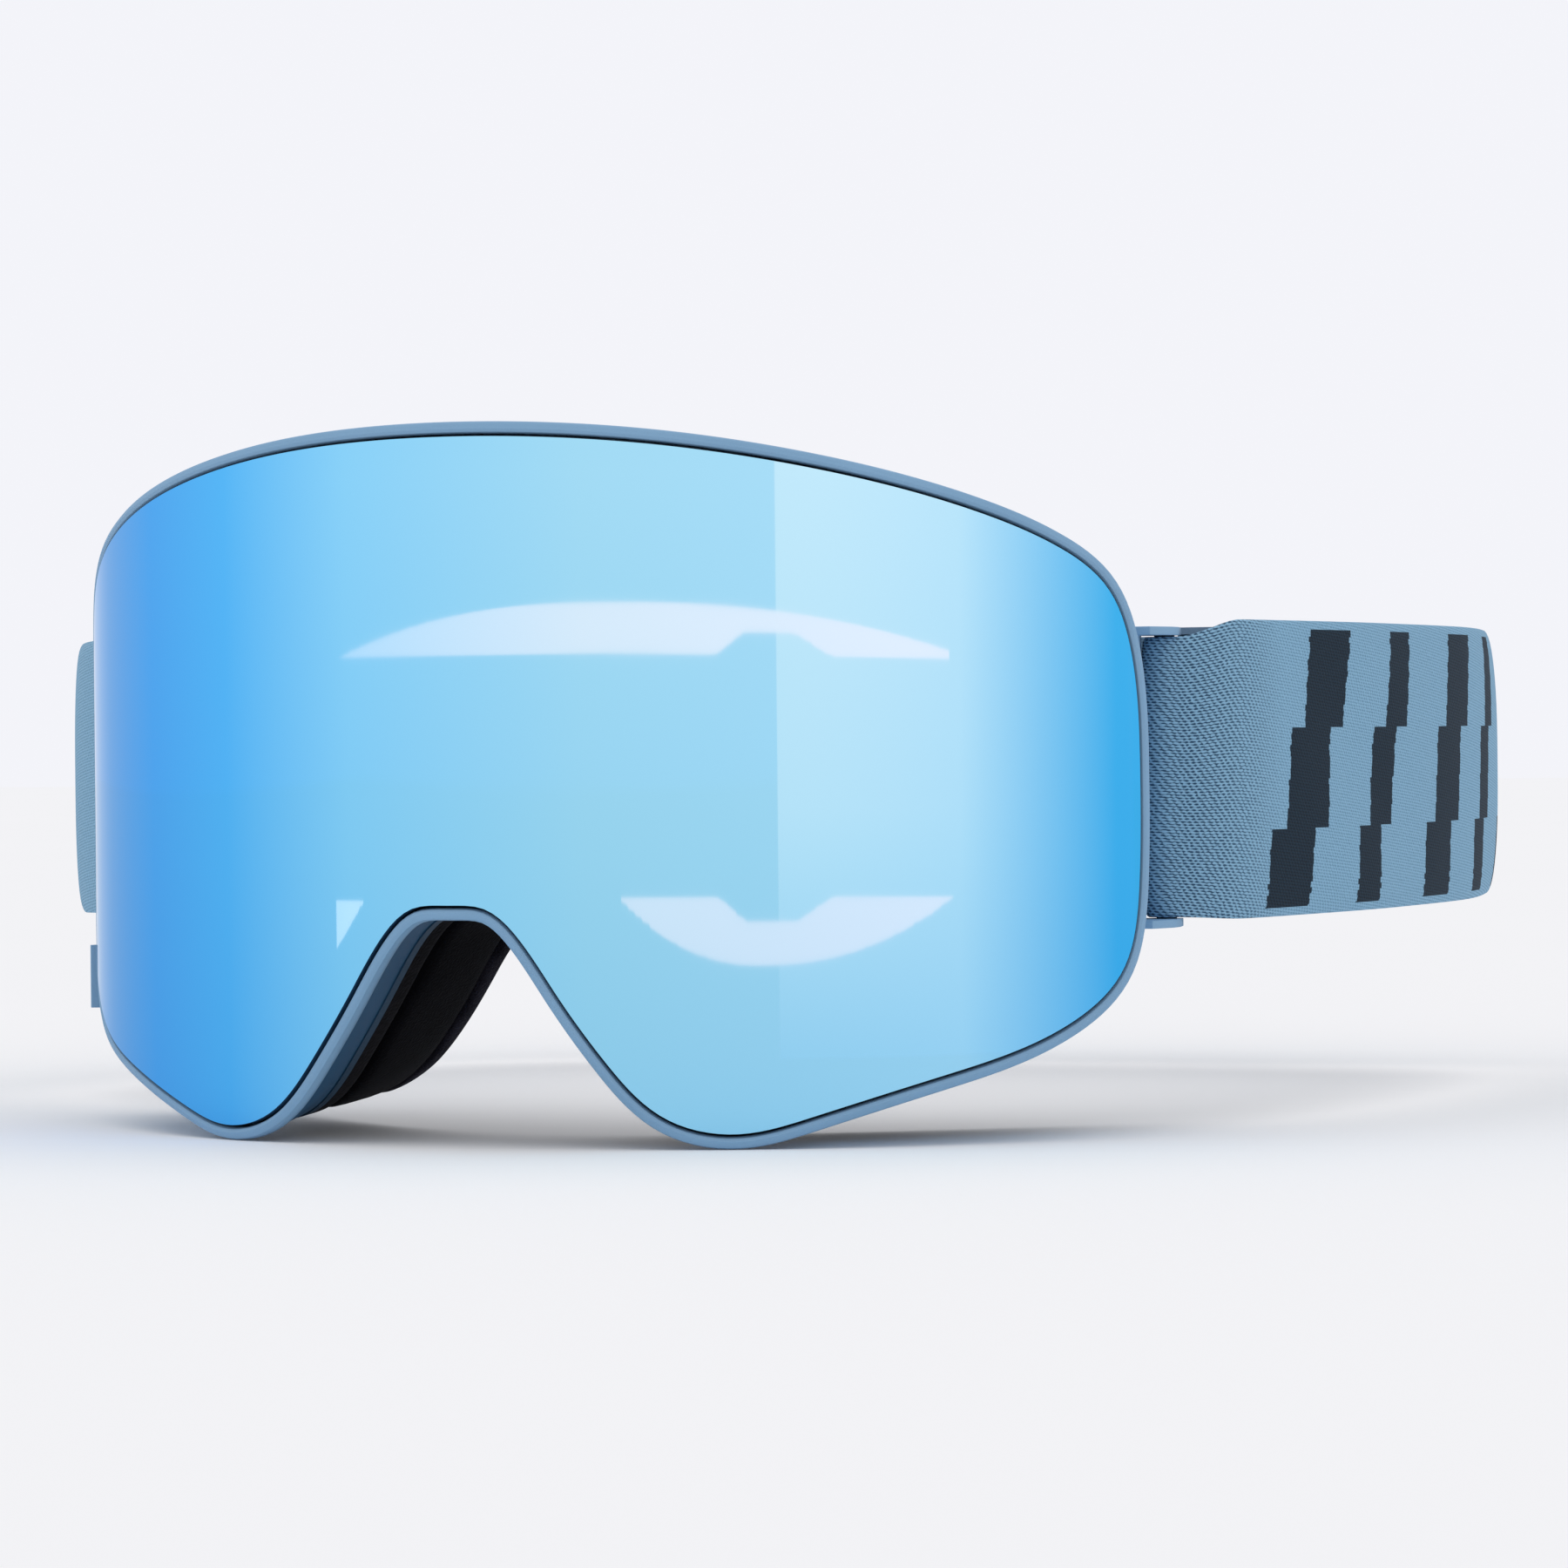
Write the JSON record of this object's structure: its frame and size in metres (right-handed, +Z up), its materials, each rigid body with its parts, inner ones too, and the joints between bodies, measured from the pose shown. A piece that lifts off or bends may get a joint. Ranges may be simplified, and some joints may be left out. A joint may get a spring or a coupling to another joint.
{
  "type": "ski goggles",
  "caption": "Ski goggles: cylindrical mirror lens in a slim rim, nose notch, layered face foam, and a wide elastic strap loop with a slider.",
  "frame": {"origin": "middle of the whole object's footprint, on the surface that the goggles stand on", "axes": "+Z up; the lens looks towards -Y and the strap runs back along +Y; +X is the wearer's left. The lens's mid-plane is at x = 0.0179 m, because the strap loop bulges further out on the wearer's right"},
  "size_m": [0.2221, 0.2411, 0.1022],
  "materials": {
    "frame": "matte moulded TPU, blue-grey",
    "face_frame": "matte black nylon",
    "vent_foam": "open-cell filter foam, black",
    "magnets": "nickel-plated magnet",
    "mirror_lens": "ice-blue mirror coat on polycarbonate",
    "gasket": "closed-cell foam, black",
    "inner_lens": "tinted clear acetate, anti-fog",
    "carrier": "matte black nylon",
    "foam_base": "firm face foam, charcoal",
    "foam": "soft face foam, black",
    "fleece": "brushed fleece, black",
    "steel": "stainless pin",
    "webbing": "woven elastic webbing, blue-grey with dark navy pattern",
    "silicone": "translucent silicone",
    "buckle": "matte moulded acetal, near black"
  },
  "bodies": {
    "frame": {"frame_shell": "frame", "face_frame": "face_frame", "vent_foam_top": "vent_foam", "vent_foam_low_left": "vent_foam", "vent_foam_low_right": "vent_foam", "frame_magnets": "magnets", "face_foam_base": "foam_base", "face_foam_mid": "foam", "face_fleece": "fleece", "outrigger_left": "frame", "outrigger_right": "frame", "anchor_bar_left": "steel", "anchor_bar_right": "steel", "lever_bracket": "frame", "lever_pin": "steel", "strap_end_left": "webbing", "strap_end_right": "webbing"},
    "lens": {"outer_lens": "mirror_lens", "lens_gasket": "gasket", "inner_lens": "inner_lens", "lens_magnets": "magnets", "lens_carrier": "carrier"},
    "lever": {"release_lever": "frame"},
    "strap": {"strap_flex_left": "webbing", "strap_flex_right": "webbing", "strap_long": "webbing", "strap_short": "webbing", "silicone_left": "silicone", "silicone_right": "silicone", "strap_ring": "buckle"},
    "slider": {"slider": "buckle", "strap_tail": "webbing"}
  },
  "joints": [
    {"name": "lens_pull", "type": "slide", "parent": "frame", "child": "lens", "axis": [0, -1, 0], "range_m": [0, 0.03], "stiffness_N_per_m": 20, "springref_m": -0.05},
    {"name": "lever_turn", "type": "hinge", "parent": "frame", "child": "lever", "pos_m": [-0.0643, -0.0517, 0.0217], "axis": [0, 0, -1], "range_deg": [0, 40]},
    {"name": "strap_swing", "type": "hinge", "parent": "frame", "child": "strap", "pos_m": [0.0179, -0.0461, 0.0522], "axis": [1, 0, 0], "range_deg": [-10, 25], "stiffness_Nm_per_rad": 0.3, "springref_deg": 2.86, "deforming": ["strap_flex_left", "strap_flex_right"]},
    {"name": "slider_slide", "type": "slide", "parent": "strap", "child": "slider", "axis": [1, 0, 0], "range_m": [-0.015, 0.015], "deforming": ["strap_tail"]}
  ]
}
